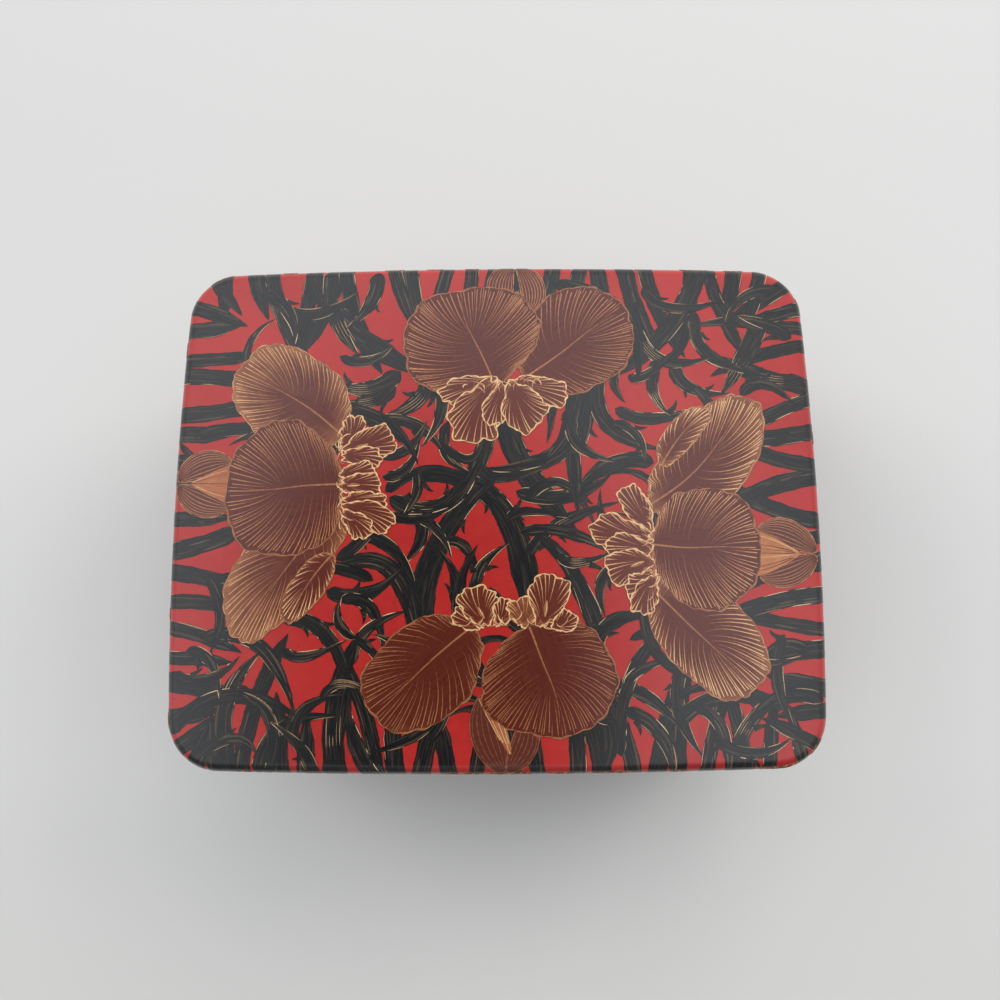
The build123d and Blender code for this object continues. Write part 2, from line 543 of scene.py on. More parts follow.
# Table, light and surroundings
studio = {
    "tableSize": 1.6,
    # painted shade on the table: its colour is darker on the near side and a little at the far side, where
    # less light reaches it
    "sheetShade": [(0.0, fromPicture(193, 192, 187)), (0.36, fromPicture(204, 203, 199)),
              (0.57, fromPicture(202, 201, 198)), (1.0, fromPicture(197, 196, 193))],  # near to far
    "lights": [((-1.35, 0.75, 0.85), 10.0, 1.1), ((1.30, 0.90, 0.85), 14.0, 1.1),
               ((0.16, 0.60, 0.56), 1.7, 0.55)],  # place, power and width of each
    "lampColour": (1.0, 0.985, 0.96),
    "lampAim": (0, 0, 0.03),
    "glow": (0.94, 0.98, 1.04, 1.0),
    "darkMiddle": (-0.10, -0.11),  # direction, across and along, of the middle of the dark patch overhead
    "darkLength": 1.4,  # it is this much longer towards the front
    "ring": [(0.0, 0.012), (0.13, 0.02), (0.20, 0.07), (0.26, 0.30), (0.34, 0.64), (0.46, 0.74),
             (0.62, 0.52), (1.0, 0.36)],  # distance from the patch's middle, and brightness there
    "background": fromPicture(152, 152, 151),
    "skyStrength": 2.12,
    "frontLight": 0.2,  # share of the room's light that comes from the viewer's side
}


# a wide pale sheet with painted shade: darker towards the near side and a little at the far side, for light
# that falls off across the table
def tableTop():
    # a wide pale sheet whose tone drifts from the far side to the near side
    half, count = studio["tableSize"] / 2, 9
    along = np.linspace(-half, half, count)
    x, y = np.meshgrid(along, along)
    points = np.stack([x, y, np.zeros_like(x)], -1).reshape(-1, 3)
    a = (np.arange(count - 1)[:, None] * count + np.arange(count - 1)[None, :]).ravel()
    mesh = bpy.data.meshes.new("table")
    mesh.from_pydata(points.tolist(), [], np.stack([a, a + 1, a + 1 + count, a + count], -1).tolist())
    table = bpy.data.objects.new("table", mesh)
    bpy.context.scene.collection.objects.link(table)
    material, tree, shader = newMaterial("tableSheetShaded", 0.7, coat=0.0)
    tone = rangeOf(tree, objectPlace(tree), -0.16, 0.12, 0.0)
    tree.links.new(ramp(tree, tone, studio["sheetShade"]), shader.inputs["Base Color"])
    mesh.materials.append(material)
    table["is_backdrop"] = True


def softLight():
    # wide lamps far left, far right and behind the box, so that its soft shadow falls to the front middle
    for index, (place, power, width) in enumerate(studio["lights"]):
        name = "lamp" + str(index)
        data = bpy.data.lights.new(name, "AREA")
        data.shape, data.size, data.energy = "DISK", width, power
        data.color = studio["lampColour"]
        lamp = bpy.data.objects.new(name, data)
        bpy.context.scene.collection.objects.link(lamp)
        lamp.location = place
        aim = Vector(studio["lampAim"]) - lamp.location
        lamp.rotation_euler = aim.to_track_quat("-Z", "Y").to_euler()
        lamp.visible_glossy = False
        lamp.visible_camera = False


def surroundings():
    # The room's light by its distance, seen in plan, from a dark patch overhead where the viewer stands:
    # brightest on a wide ring round the patch, and calmer towards the walls.
    world = bpy.data.worlds.new("room")
    world.use_nodes = True
    bpy.context.scene.world = world
    tree = world.node_tree
    ground = tree.nodes["Background"]
    direction = add(tree, "ShaderNodeTexCoord").outputs["Generated"]
    middle, narrow = (*studio["darkMiddle"], 0.0), (1.0, 1 / studio["darkLength"], 0.0)
    moved = add(tree, "ShaderNodeVectorMath", {"operation": "SUBTRACT"}, i0=direction, i1=middle)
    flat = add(tree, "ShaderNodeVectorMath", {"operation": "MULTIPLY"}, i0=moved.outputs[0], i1=narrow)
    share = add(tree, "ShaderNodeVectorMath", {"operation": "LENGTH"}, i0=flat.outputs[0]).outputs["Value"]
    light = ramp(tree, share, [(place, grey(value)) for place, value in studio["ring"]])
    front = rangeOf(tree, direction, -0.70, -0.22, studio["frontLight"])
    light = blendOf(tree, 1.0, light, front, "MULTIPLY")
    tinted = blendOf(tree, 1.0, light, studio["glow"], "MULTIPLY")
    seen = add(tree, "ShaderNodeLightPath").outputs["Is Camera Ray"]
    shown = blendOf(tree, seen, tinted, studio["background"])
    tree.links.new(shown, ground.inputs["Color"])
    ground.inputs["Strength"].default_value = studio["skyStrength"]


tableTop()
softLight()
surroundings()
print("camera and light ready")


# Paint: every brush stroke is a thin raised skin that follows the lacquer's surface
paintForm = {
    "firstLift": 0.02,
    "layerLift": 0.003,
    "sideLayer": 0.25,  # layers that each blade on the base's side lies above the one before
    "lineLift": 0.0015,  # a fine line above its blade
    "sunk": -0.02,
    "crease": 30,
}
pileForm = {"left": -104.0, "near": -96.0, "cell": 0.8, "rows": 240, "columns": 260}
pile = np.zeros((pileForm["rows"], pileForm["columns"]), int)  # strokes on each cell of the lid's plan


def newStore():
    return {"points": [], "faces": [], "uv": [], "tone": [], "which": [], "count": 0}


def addStroke(store, plan, lift, uv, tone, surface, skirt=True, which=0):
    # A grid of plan points, i along the stroke and j across it, becomes a skin on the surface at its lift.
    # A skirt repeats the border below the lacquer, so that the skin is closed against it.
    lift = np.broadcast_to(np.asarray(lift, float), plan.shape[:2])
    tone = np.broadcast_to(np.asarray(tone, float), plan.shape[:2])
    if skirt:
        pads = ((1, 1), (1, 1))
        plan, uv = np.pad(plan, pads + ((0, 0),), mode="edge"), np.pad(uv, pads + ((0, 0),), mode="edge")
        lift, tone = np.pad(lift, pads, constant_values=paintForm["sunk"]), np.pad(tone, pads, mode="edge")
    n, k = plan.shape[:2]
    along, across = plan[1:, :-1] - plan[:-1, :-1], plan[:-1, 1:] - plan[:-1, :-1]
    upward = (along[..., 0] * across[..., 1] - along[..., 1] * across[..., 0]).sum() > 0
    a = (np.arange(n - 1)[:, None] * k + np.arange(k - 1)[None, :]).ravel() + store["count"]
    corners = [a, a + k, a + k + 1, a + 1]
    store["points"].append(surface(plan[..., 0], plan[..., 1], lift).reshape(-1, 3))
    store["faces"].append(np.stack(corners if upward else corners[::-1], -1))
    store["uv"].append(uv.reshape(-1, 2))
    store["tone"].append(tone.ravel())
    store["which"].append(np.full(len(a), which))
    store["count"] += n * k


def strokesPiece(name, store, materials, body, crease=None):
    points, faces = np.concatenate(store["points"]), np.concatenate(store["faces"])
    uv, tone = np.concatenate(store["uv"]), np.concatenate(store["tone"])
    print(name, len(faces) * 2, "triangles")
    which = np.concatenate(store["which"])
    piece(name, points, faces, materials, body, uv, tone, which, crease)


def cellOf(x, y):
    # row and column of the pile's cell that a plan point falls in
    column = ((x - pileForm["left"]) / pileForm["cell"]).astype(int)
    row = ((y - pileForm["near"]) / pileForm["cell"]).astype(int)
    return np.clip(row, 0, pileForm["rows"] - 1), np.clip(column, 0, pileForm["columns"] - 1)


def layerOf(plan):
    # one layer above the highest stroke already lying under this one
    cell = cellOf(plan[..., 0], plan[..., 1])
    layer = pile[cell].max() + 1
    pile[cell] = layer
    return layer


def pileTop():
    # the lift of a skin that lies clear of every blade
    return paintForm["firstLift"] + (pile.max() + 2) * paintForm["layerLift"]


patternSize = {"factor": 0.985, "about": (1.6, -19.2)}  # of the drawing on the lid


def laid(point):
    # about + (point - about) * factor
    about = np.array(patternSize["about"])
    return about + (np.asarray(point, float) - about) * patternSize["factor"]


def bend(start, middle, end):
    # the curve A + (B - A) t + (M - (A + B) / 2) 4 t (1 - t), which passes M halfway
    start, middle, end = (np.asarray(p, float) for p in (start, middle, end))

    def path(t):
        t = np.asarray(t)[..., None]
        point = start + (end - start) * t + (middle - (start + end) / 2) * 4 * t * (1 - t)
        slope = end - start + (middle - (start + end) / 2) * 4 * (1 - 2 * t)
        direction = slope / np.maximum(np.linalg.norm(slope, axis=-1, keepdims=True), 1e-9)
        return point, np.stack([-direction[..., 1], direction[..., 0]], -1)

    return path


def pathLength(path):
    point, _ = path(np.linspace(0, 1, 40))
    return float(np.linalg.norm(np.diff(point, axis=0), axis=-1).sum())


def rowsOn(surface, path, length, first, last, step):
    # Places along a path, a step apart. On the lid they lie four times as close where the path rounds its
    # rolled edge.
    if surface is not onLid:
        return np.linspace(first, last, max(4, int((last - first) * length / step) + 2))
    fine = np.linspace(first, last, max(24, int(length * (last - first) * 3)))
    inset, _ = insetAt(*path(fine)[0].T)
    dense = np.where((inset < boxForm["lidRoll"] + 0.5) & (inset > -1.8), 4.0, 1.0)
    total = np.concatenate([[0], np.cumsum((dense[1:] + dense[:-1]) / 2 * np.diff(fine))]) * length / step
    return np.interp(np.linspace(0, total[-1], max(4, int(total[-1]) + 2)), total, fine)


def wander(t, size):
    # a smooth uneven edge: three sine waves of random phase
    phase = dice.random(3) * 2 * math.pi
    waves = np.sin(9 * t + phase[0]) + 0.6 * np.sin(23 * t + phase[1]) + 0.4 * np.sin(51 * t + phase[2])
    return size * waves


bladeForm = {
    "step": 0.75,  # mm between the rows of a blade
    "lineStep": 0.8,  # and of a fine line
    "columns": 7,
    "edgeWander": 0.07,
    "blunt": 1.8,  # mm over which the brush is set down
    "point": 8.0,  # mm over which it is drawn off
    "streakWidth": (0.10, 0.38),
    "streakLength": (1.5, 9.0),
    "streakGap": (0.3, 3.0),
    "edgeLineWidth": (0.07, 0.17),
    "edgeLineLength": (0.6, 7.0),
    "edgeLineGap": (0.2, 2.5),
    "edgeLinePlace": 0.93,  # share of the half width
}
bladeStore, streakStore, edgeStore = newStore(), newStore(), newStore()


def bladeWidth(t, length, first, last, blunt, point):
    # full width along the blade, blunt where it starts and drawn to a point at its end
    start = np.clip(t * length / max(min(blunt, length * 0.4), 1e-6) + (blunt == 0), 0, 1) ** 0.5
    if point == 0:
        return (first + (last - first) * t) * start
    reach = min(point, length * 0.5)
    tip = np.clip((1 - t) * length / reach, 0, 1) ** 0.75
    return (first + (last - first) * t) * start * tip


def hairline(store, path, length, spanStart, spanEnd, offset, width, lift, tone, surface):
    # a fine line on a blade: offset is a function of t across it, and it thins towards both ends
    t = rowsOn(surface, path, length, spanStart, spanEnd, bladeForm["lineStep"])
    point, normal = path(t)
    share = (t - spanStart) / (spanEnd - spanStart)
    half = (width / 2 * np.sin(np.pi * np.clip(share * 0.94 + 0.03, 0, 1)) ** 0.6)[:, None, None]
    side = np.array([1.0, -1.0])[None, :, None]
    plan = point[:, None] + normal[:, None] * (offset(t)[:, None, None] + side * half)
    uv = np.stack(np.broadcast_arrays((t * length)[:, None], side[..., 0] * width / 2), -1)
    addStroke(store, plan, lift, uv, tone, surface, skirt=False)


def blade(path, first, last, surface=onLid, stores=None, layered=True, streaks=3, edging=0.5, widen=None,
          blunt=bladeForm["blunt"], tipLength=bladeForm["point"]):
    # Left edge to right edge: middle line + normal * (width / 2) * (1 .. -1), with uneven edges.
    bladesIn, streaksIn, edgesIn = stores or (bladeStore, streakStore, edgeStore)
    length = pathLength(path)
    t = rowsOn(surface, path, length, 0.0, 1.0, bladeForm["step"])
    point, normal = path(t)
    width = bladeWidth(t, length, first, last, blunt, tipLength)
    if widen is not None:
        width = width * widen(point)
    edges = [wander(t * length / 12, bladeForm["edgeWander"]) for _ in range(2)]
    across = np.linspace(1, -1, bladeForm["columns"])
    rough = np.where(across > 0, edges[0][:, None], -edges[1][:, None]) * np.abs(across) ** 2
    shift = across * width[:, None] / 2 + rough * np.minimum(width, 1)[:, None]
    plan = point[:, None] + normal[:, None] * shift[..., None]
    layer = layerOf(plan) if layered else 1 + paintForm["sideLayer"] * len(bladesIn["points"])
    lift = paintForm["firstLift"] + layer * paintForm["layerLift"]
    uv = np.stack(np.broadcast_arrays((t * length)[:, None] + dice.random() * 900, shift), -1)
    addStroke(bladesIn, plan, lift, uv, dice.random(), surface)
    fine = lift + paintForm["lineLift"]
    for _ in range(streaks):
        place, drift = dice.choice([-1, 1]) * dice.uniform(0.2, 0.8), dice.uniform(-0.12, 0.12)
        start = dice.uniform(0.02, 0.5)
        tone = dice.random()
        for _ in range(dice.integers(1, 5)):
            span = dice.uniform(*bladeForm["streakLength"]) / length
            end = min(start + span, 0.93)
            if end - start > 0.5 / length:
                offset = lambda q: (place + drift * q) * np.interp(q, t, width) / 2
                hairline(streaksIn, path, length, start, end, offset, dice.uniform(*bladeForm["streakWidth"]),
                         fine, tone, surface)
            start = end + dice.uniform(*bladeForm["streakGap"]) / length
            if start > 0.9:
                break
    for side in (-1, 1):
        start = dice.uniform(0.0, 0.4)
        while dice.random() < edging and start < 0.9:
            end = min(start + dice.uniform(*bladeForm["edgeLineLength"]) / length, 0.97)
            offset = lambda q: side * bladeForm["edgeLinePlace"] * np.interp(q, t, width) / 2
            hairline(edgesIn, path, length, start, end, offset, dice.uniform(*bladeForm["edgeLineWidth"]),
                     fine, dice.random() ** 1.5, surface)
            start = end + dice.uniform(*bladeForm["edgeLineGap"]) / length
    return length


thornForm = {
    "size": (1.2, 2.4),
    "lean": (0.5, 1.3),  # along the blade, in sizes
    "root": 0.42,  # place across the blade, in widths
    "hook": 0.18,
    "thickness": 0.55,
}
burstForm = {"lines": 5, "length": (2.0, 6.5), "width": (0.06, 0.11), "chance": 0.2}


def thorn(path, t, side, size, width):
    # a small hooked spike on a blade's edge: a triangle whose tip leans along the blade
    point, normal = path(np.array([t]))
    forward = np.array([normal[0, 1], -normal[0, 0]])
    root = point[0] + normal[0] * side * width * thornForm["root"]
    tip = root + normal[0] * side * size + forward * size * dice.uniform(*thornForm["lean"])
    hook = bend(root, (root + tip) / 2 + forward * size * thornForm["hook"], tip)
    share = np.linspace(0, 1, 6)
    middle, across = hook(share)
    half = thornForm["thickness"] * size * 0.5 * (1 - share) ** 0.8 + 0.02
    plan = middle[:, None] + across[:, None] * (half[:, None] * np.array([1, 0, -1]))[..., None]
    lift = paintForm["firstLift"] + layerOf(plan) * paintForm["layerLift"]
    uv = np.broadcast_to(np.stack([share * size, half], -1)[:, None], (6, 3, 2))
    addStroke(bladeStore, plan, lift, uv, dice.random(), onLid)


def burst(path, t, width, count):
    # A fan of short engraved lines along a blade, where it comes out from under another.
    length = pathLength(path)
    point, _ = path(np.array([t]))
    lift = paintForm["firstLift"] + pile[cellOf(point[0, 0], point[0, 1])] * paintForm["layerLift"] + 0.002
    for place in np.linspace(-0.8, 0.8, count):
        start = t + dice.uniform(0, 0.8) / length
        end = start + dice.uniform(*burstForm["length"]) / length
        if end < 0.97:
            offset = lambda q: place * width / 2 + 0 * q
            thickness, tone = dice.uniform(*burstForm["width"]), dice.uniform(0, 0.4)
            hairline(edgeStore, path, length, start, end, offset, thickness, lift, tone, onLid)


# The long blades of the pattern's middle and corners: start, halfway point and end in mm on the lid, then
# the first and last width. Each is one sweep of a flat brush. The places and widths were read off the
# photograph, squared up under a millimetre grid.
sweeps = [
    # the tall fork under the top flower, and the arches below it
    (2.4, 23.5, -2.2, 12.5, -6.5, 0.5, 2.8, 4), (1.4, 23.5, 5, 9.6, 16, -4, 4.4, 5),
    (-15, 6.8, 1, 0.4, 6.4, -23, 2.6, 6), (0.5, 7.5, -12, -8.6, -14.8, -29, 2.8, 6.2),
    (15.6, 21, 12, 11, -3, 8.2, 5, 2.4), (14.2, 23, 17.8, 18, 15.6, 9, 4.4, 3),
    (-21.8, 3.6, -12.7, 7.9, -2, 4.4, 2.4, 2), (-21, 2.6, -10.5, 0.9, -2.2, 11.5, 3.4, 3.2),
    (4, 3.6, 14, 2.6, 23, 7, 3, 2.8), (6, 2, 13.5, 5, 20, -4.5, 2.4, 1.6),
    (31.5, 9.2, 23, 8.9, 15, 2.4, 3, 3.6), (15.4, 12.4, 15.8, 5, 16.6, -2.6, 3.2, 1.8),
    (6.4, -9.2, 12, -3.2, 24.5, 1.4, 2.2, 2.6), (4.8, -4.6, 14, -4.6, 24.5, -9.6, 2.2, 2.4),
    (8.4, -5.6, 14.6, -12, 18, -24, 2, 4), (14.6, -11.6, 18, -19, 20.6, -28, 2.2, 5.2),
    (-12, -7, -6, -7.4, -3.2, -16, 1.8, 2.4), (-3.8, -17, -2.6, -11, 3, -6.4, 2.6, 1.8),
    (-8.4, -18.6, -8, -13, -11.8, -7, 2.6, 1.6), (-15.8, 0.4, -14.6, -5.6, -19, -11.2, 3, 2.2),
    (-16.6, -1, -11.5, -4, -8.6, -9.6, 2.2, 1.6), (-29, -4.2, -21, -7, -15.6, -14.6, 2.6, 2.8),
    (-30.5, -10.8, -20, -12, -15, -25.8, 2.4, 5.2), (-33, -15.6, -25, -16.2, -17.6, -10.6, 3, 2.4),
    (-2.6, 9, 1.5, 6.4, 12, 9.4, 2, 2.6), (-9.4, 18, -9.8, 11.4, -4.8, 7.4, 2.2, 2.4),
    (12, -8.6, 15.8, -10.6, 22.8, -8.2, 2, 2.2), (2.2, -2, 6.4, -0.4, 15, -1.8, 1.8, 2),
    # left of the middle
    (-38, 51, -30, 38, -13.4, 27.4, 3.6, 4.6), (-14.4, 29.6, -15.4, 22.4, -25.4, 18, 3.4, 2.8),
    (-19, 28.4, -26.6, 24.6, -34.2, 27.6, 4, 2.2), (-20, 25.2, -26, 21.8, -33, 23, 3, 2),
    (-31.6, 31.8, -26, 30.6, -20.6, 34, 2, 2.4), (-33.6, 50.8, -33, 41, -27.6, 31.8, 3.2, 3.4),
    (-26.4, 17.6, -16.4, 17.4, -10.2, 11, 2.6, 2.6), (-12.2, 26.6, -10.8, 20, -14.8, 12.6, 2.8, 2.4),
    (-24.4, 11.6, -18, 12, -13.6, 18.2, 2, 2.4), (-22.4, 6.6, -17.6, 8.4, -15, 14.4, 2.4, 2),
    (-11, 13.6, -5, 10.2, -2.6, 15.8, 1.8, 2), (-15.8, 8, -15.6, 3.6, -18.4, -1.4, 2.2, 2),
    (-22.4, -0.4, -15.4, -1.8, -9, 0.6, 2, 2.2), (-43.8, 42.2, -36, 41, -28, 45.6, 2.6, 2.4),
    (-47, 46, -42, 40.4, -41, 34, 3.2, 2), (-24, 49.8, -25.6, 43, -30.6, 37.4, 3.4, 2.4),
    # lower left
    (-30.4, -17.6, -24.4, -19, -21.4, -28, 2.2, 3), (-27.6, -30, -25, -23.4, -17, -19.6, 2, 2.4),
    (-29.8, -52, -30.8, -38, -26.4, -23.6, 4.4, 3.2), (-42, -20.8, -33.6, -23.4, -28, -33, 3, 3),
    (-57, -24.8, -46, -26, -38.6, -38.6, 3, 2.6), (-50, -52, -52, -38, -45.4, -27.4, 4.2, 2.6),
    (-63, -42.6, -51, -35.4, -37, -40.2, 3.2, 2.2), (-45.4, -50.6, -41, -41.4, -30, -39.4, 2.8, 2.4),
    (-44, -51, -43, -40.4, -50, -34.6, 2.6, 2.2), (-39, -44.6, -36.6, -38, -29, -35.4, 2.6, 2),
    (-22.6, -52, -26.6, -44.6, -28.4, -36.6, 3.4, 2.8), (-41, -26.6, -37, -28.2, -28.6, -25, 2, 2.2),
    (-56.6, -12.6, -53.6, -20, -55.6, -28.4, 2.2, 2.4), (-60, -27, -55, -29.4, -53, -36.6, 2.6, 1.8),
    (-35, -52, -36.6, -46, -43.6, -40, 3, 2), (-57.6, -47, -50, -43.4, -45.4, -46.6, 2.4, 1.8),
    (-33.6, -36.4, -30, -33.4, -24.4, -35, 1.8, 2), (-63.4, -31.4, -56, -32.6, -49.4, -28, 2.8, 2.4),
    # right of the middle
    (42.4, 51, 35.6, 37.4, 23.4, 26.6, 4.2, 3), (21, 28.6, 22.2, 17.4, 33.6, 11.8, 3.8, 2.6),
    (18.4, 28.4, 15.8, 17, 9.4, 9.4, 5.2, 3), (19.4, 26.8, 15.4, 15, 24.6, 9.4, 3, 2.2),
    (36, 29.6, 39.6, 24.4, 47.4, 23.6, 3, 2.2), (24, 20.4, 31.6, 18.2, 41.6, 20.8, 2.6, 2.4),
    (55, 40.4, 50.8, 31.4, 45.4, 23, 4.2, 3.2), (41.4, 40.6, 42.6, 32.4, 53, 27.4, 2.6, 2.8),
    (28.6, 38.4, 34, 30.4, 44.4, 31.4, 2.6, 2.2), (23.2, 17.6, 28.4, 14.6, 29.6, 8.6, 1.8, 2),
    (60.6, 35, 52, 38.6, 40, 37.6, 3, 2.4), (45, 48, 47.4, 40.6, 56.4, 36.6, 2.6, 2.2),
    (33, 30.6, 31.8, 24, 35.6, 18.6, 2.8, 2), (62.4, 26.6, 55, 26.4, 49, 30.4, 3, 2.4),
    (30.4, 46, 36.4, 41.6, 47.6, 43.6, 2.2, 2.2), (58.4, 45.6, 51.4, 44, 47, 38, 2.6, 2),
    (27, 27.4, 31, 27.6, 38.6, 34.6, 1.8, 2.2), (49.4, 23, 54.4, 25.4, 60.6, 21, 2.4, 2.4),
    # lower right
    (21, -34.2, 28.6, -36, 36.6, -44, 3, 2.2), (23.4, -47, 25.4, -33, 33.4, -22.4, 2.4, 2.8),
    (18.6, -28.6, 22.6, -21.8, 32, -21.2, 2.6, 3.2), (24.6, -34.4, 27.6, -31, 34.4, -29, 1.8, 2),
    (35.6, -30.6, 34.6, -38.4, 38.8, -47, 2.6, 3), (34.4, -40.8, 45, -35.8, 58.6, -40, 3, 2.8),
    (60.4, -28, 53.6, -27.4, 48.4, -36.4, 2.6, 2.4), (45.4, -51, 47.4, -42, 57.6, -33, 3.2, 2.2),
    (24, -38.4, 31, -43, 33.4, -52, 2.4, 3.2), (62.6, -37, 54, -36.6, 47, -43, 2.8, 2.2),
    (37.4, -38, 42.6, -42, 43.6, -52, 2, 3.2), (19.6, -38, 21.4, -44, 19, -52, 3.4, 4.2),
    (55.6, -24.4, 53.8, -33, 56.6, -42, 2.2, 2.6), (25.6, -25.4, 30, -24.4, 33.6, -27.4, 1.8, 2),
    (41, -43.8, 48.6, -46.6, 56, -43.8, 2, 2.4), (24.6, -10.6, 20.4, -14.4, 21, -21, 2.2, 2.6),
]


# Each fine line's paint is its dark and light colour, and the one it breaks up into.
bladeLook = {
    "black": (fromPicture(13, 14, 15), fromPicture(21, 22, 22)),
    "thin": fromPicture(66, 54, 42),
    "dragLine": (fromPicture(34, 31, 29), fromPicture(84, 70, 52), fromPicture(44, 40, 36)),
    "edgeLine": (fromPicture(150, 116, 80), fromPicture(222, 190, 146), fromPicture(120, 88, 60)),
}


def bladePaint():
    # Thick black brush lacquer: bluish black ground, brown where it was dragged thin, ridged by the bristles.
    material, tree, shader = newMaterial("bladePaint", 0.3)
    uv, tone = strokePlace(tree)
    bristle = add(tree, "ShaderNodeMapping", Vector=uv, Scale=(0.10, 2.2, 1.0)).outputs[0]
    drag = noiseOf(tree, bristle, 1.6, 4.0, 0.6)
    colour = blendOf(tree, tone, *bladeLook["black"])
    colour = blendOf(tree, mask(tree, drag, 0.50, 0.0, 0.70, 0.7), colour, bladeLook["thin"])
    surfaceOf(tree, shader, colour, (drag, 0.3, 0.24, 0.75, 0.5), (0.35, 0.00012, drag))
    return material


def finePaint(name, roughness):
    # A fine line's paint: its shade goes by the stroke's own tone and breaks up along its length.
    material, tree, shader = newMaterial(name, roughness, coat=0.9)
    uv, tone = strokePlace(tree)
    dark, light, broken = bladeLook[name]
    fleck = noiseOf(tree, uv, 1.9, 3.0)
    colour = blendOf(tree, tone, dark, light)
    colour = blendOf(tree, mask(tree, fleck, 0.46, 0.0, 0.70, 0.7), colour, broken)
    surfaceOf(tree, shader, colour, (fleck, 0.3, roughness - 0.06, 0.7, roughness + 0.12))
    return material


rimForm = {
    "spacing": 5.4,  # from one rim blade to the next along the outline
    "width": (2.9, 4.0),
    "inner": (11.0, 26.0),  # how far they reach in over the lid
    "straight": 8.0,  # this much of the reach doesn't sway
    "cornersFrom": (48.0, 34.0),  # past this x and y a corner's blades close in and are shorter
    "cornerShare": 0.22,
}


def cornerSpread(point):
    # past the outline a corner's plan is drawn out, so a blade's width grows by 1 + distance out / radius
    inset, _ = insetAt(point[..., 0], point[..., 1])
    inCorner = (np.abs(point[..., 0]) > arcs[1, 0]) & (np.abs(point[..., 1]) > arcs[1, 1])
    return np.where(inCorner, 1 + np.maximum(-inset, 0) / boxForm["corner"], 1.0)


rimPlaces = []  # distance along the outline and width of each


def rimBlades():
    # blades square to the edge, all round: over the lid, round its rolled edge and down its side
    count = int(perimeter / rimForm["spacing"])
    for k in range(count):
        run = (k + dice.uniform(-0.16, 0.16)) * perimeter / count
        foot, n = outlineAt(np.array(run))
        roll = boxForm["lidRoll"]
        rollTop = foot - n * roll
        outer = crownHeight(*rollTop) - seamHeight - boxForm["seamGap"] + roll * (math.pi / 2 - 2)
        side = np.array([-n[1], n[0]])
        lean = dice.normal(0, 1.6)
        reach = dice.uniform(*rimForm["inner"])
        straight = rimForm["straight"]
        if (np.abs(foot) > rimForm["cornersFrom"]).all():
            reach = straight + reach * rimForm["cornerShare"]
        start = foot + n * outer
        sway = dice.choice([-1, 1]) * dice.uniform(0.15, 0.65) * max(reach - straight, 0)
        end = foot - n * reach + side * (lean + sway)
        middle = foot + n * (outer - reach) / 2 + side * (lean - sway) * 0.2
        width = dice.uniform(*rimForm["width"])
        blade(bend(start, middle, end), width, width * 0.84, widen=cornerSpread, streaks=4, edging=0.55,
              blunt=0, tipLength=5.0)
        rimPlaces.append((run, width))


sickleForm = {"tries": 24, "within": (60.0, 46.5)}


def sickles(count, reach, width):
    # short hooked blades scattered where the pattern needs filling, the least covered places first
    total = sickleForm["tries"]
    for _ in range(count):
        tries = dice.uniform(-1, 1, (total, 2)) * np.array(sickleForm["within"])
        cells = zip(*cellOf(tries[:, 0], tries[:, 1]))
        spread = np.array([pile[r - 2:r + 3, c - 2:c + 3].astype(bool).sum() for r, c in cells])
        place = tries[np.argmin(spread + dice.random(total))]
        angle = dice.uniform(0, 2 * math.pi)
        along = np.array([math.cos(angle), math.sin(angle)])
        side = np.array([-along[1], along[0]]) * dice.choice([-1, 1])
        half = dice.uniform(*reach) / 2
        first = dice.uniform(*width)
        path = bend(place - along * half, place + side * half * dice.uniform(0.28, 0.6), place + along * half)
        blade(path, first, first * 0.9, streaks=3, edging=0.5)


rimBlades()
for sweep in sweeps:
    path = bend(laid(sweep[0:2]), laid(sweep[2:4]), laid(sweep[4:6]))
    length = blade(path, sweep[6], sweep[7], streaks=int(2 + dice.integers(0, 3)), edging=0.66)
    for _ in range(dice.integers(0, 3)):
        place = dice.uniform(0.12, 0.72)
        width = float(bladeWidth(place, length, *sweep[6:8], bladeForm["blunt"], bladeForm["point"]))
        thorn(path, place, dice.choice([-1, 1]), dice.uniform(*thornForm["size"]), width)
    if dice.random() < burstForm["chance"]:
        burst(path, dice.uniform(0.05, 0.6), min(sweep[6:8]), burstForm["lines"])
sickles(34, (17.0, 27.0), (2.0, 3.0))
sickles(26, (8.0, 14.0), (1.4, 2.2))
bladeCoat = bladePaint()
streakCoat, edgeCoat = finePaint("dragLine", 0.36), finePaint("edgeLine", 0.34)
strokesPiece("lidBlades", bladeStore, [bladeCoat], "lid", paintForm["crease"])
strokesPiece("lidBladeStreaks", streakStore, [streakCoat], "lid")
strokesPiece("lidBladeEdges", edgeStore, [edgeCoat], "lid")
print("lid blades ready")


# The base's side: each rim blade goes on below the seam, down to the foot, with a few arcs across.
# Its plan is distance along the outline by height.
baseBlade, baseStreak, baseEdge = newStore(), newStore(), newStore()
baseStores = (baseBlade, baseStreak, baseEdge)


baseForm = {
    "topGap": 0.35,  # mm from the seam to the blades' upper ends
    "foot": 0.4,  # height of their lower ends
    "arcs": 22,
    "arcWidth": (2.6, 3.4),
    "arcReach": (9, 16),
    "arcRise": (9, 15),
}


def baseBlades():
    top, arcCount = seamHeight - baseForm["topGap"], baseForm["arcs"]
    for run, width in rimPlaces:
        sway, lean = dice.normal(0, 0.9), dice.normal(0, 0.7)
        path = bend((run, top), (run + sway, top * 0.5), (run + lean, baseForm["foot"]))
        last = width * dice.uniform(0.8, 1.05)
        blade(path, width, last, onBase, baseStores, False, 4, 0.6, blunt=0, tipLength=0)
    for k in range(arcCount):
        run, z = (k + dice.uniform(0, 0.6)) * perimeter / arcCount, dice.uniform(0.12, 0.55) * top
        reach = dice.choice([-1, 1]) * dice.uniform(*baseForm["arcReach"])
        rise = dice.uniform(*baseForm["arcRise"])
        path = bend((run - reach / 2, z), (run + reach * 0.16, z + rise * 0.3), (run + reach / 2, z + rise))
        blade(path, dice.uniform(*baseForm["arcWidth"]), 2.2, onBase, baseStores, False, 3, 0.6, blunt=3.0)


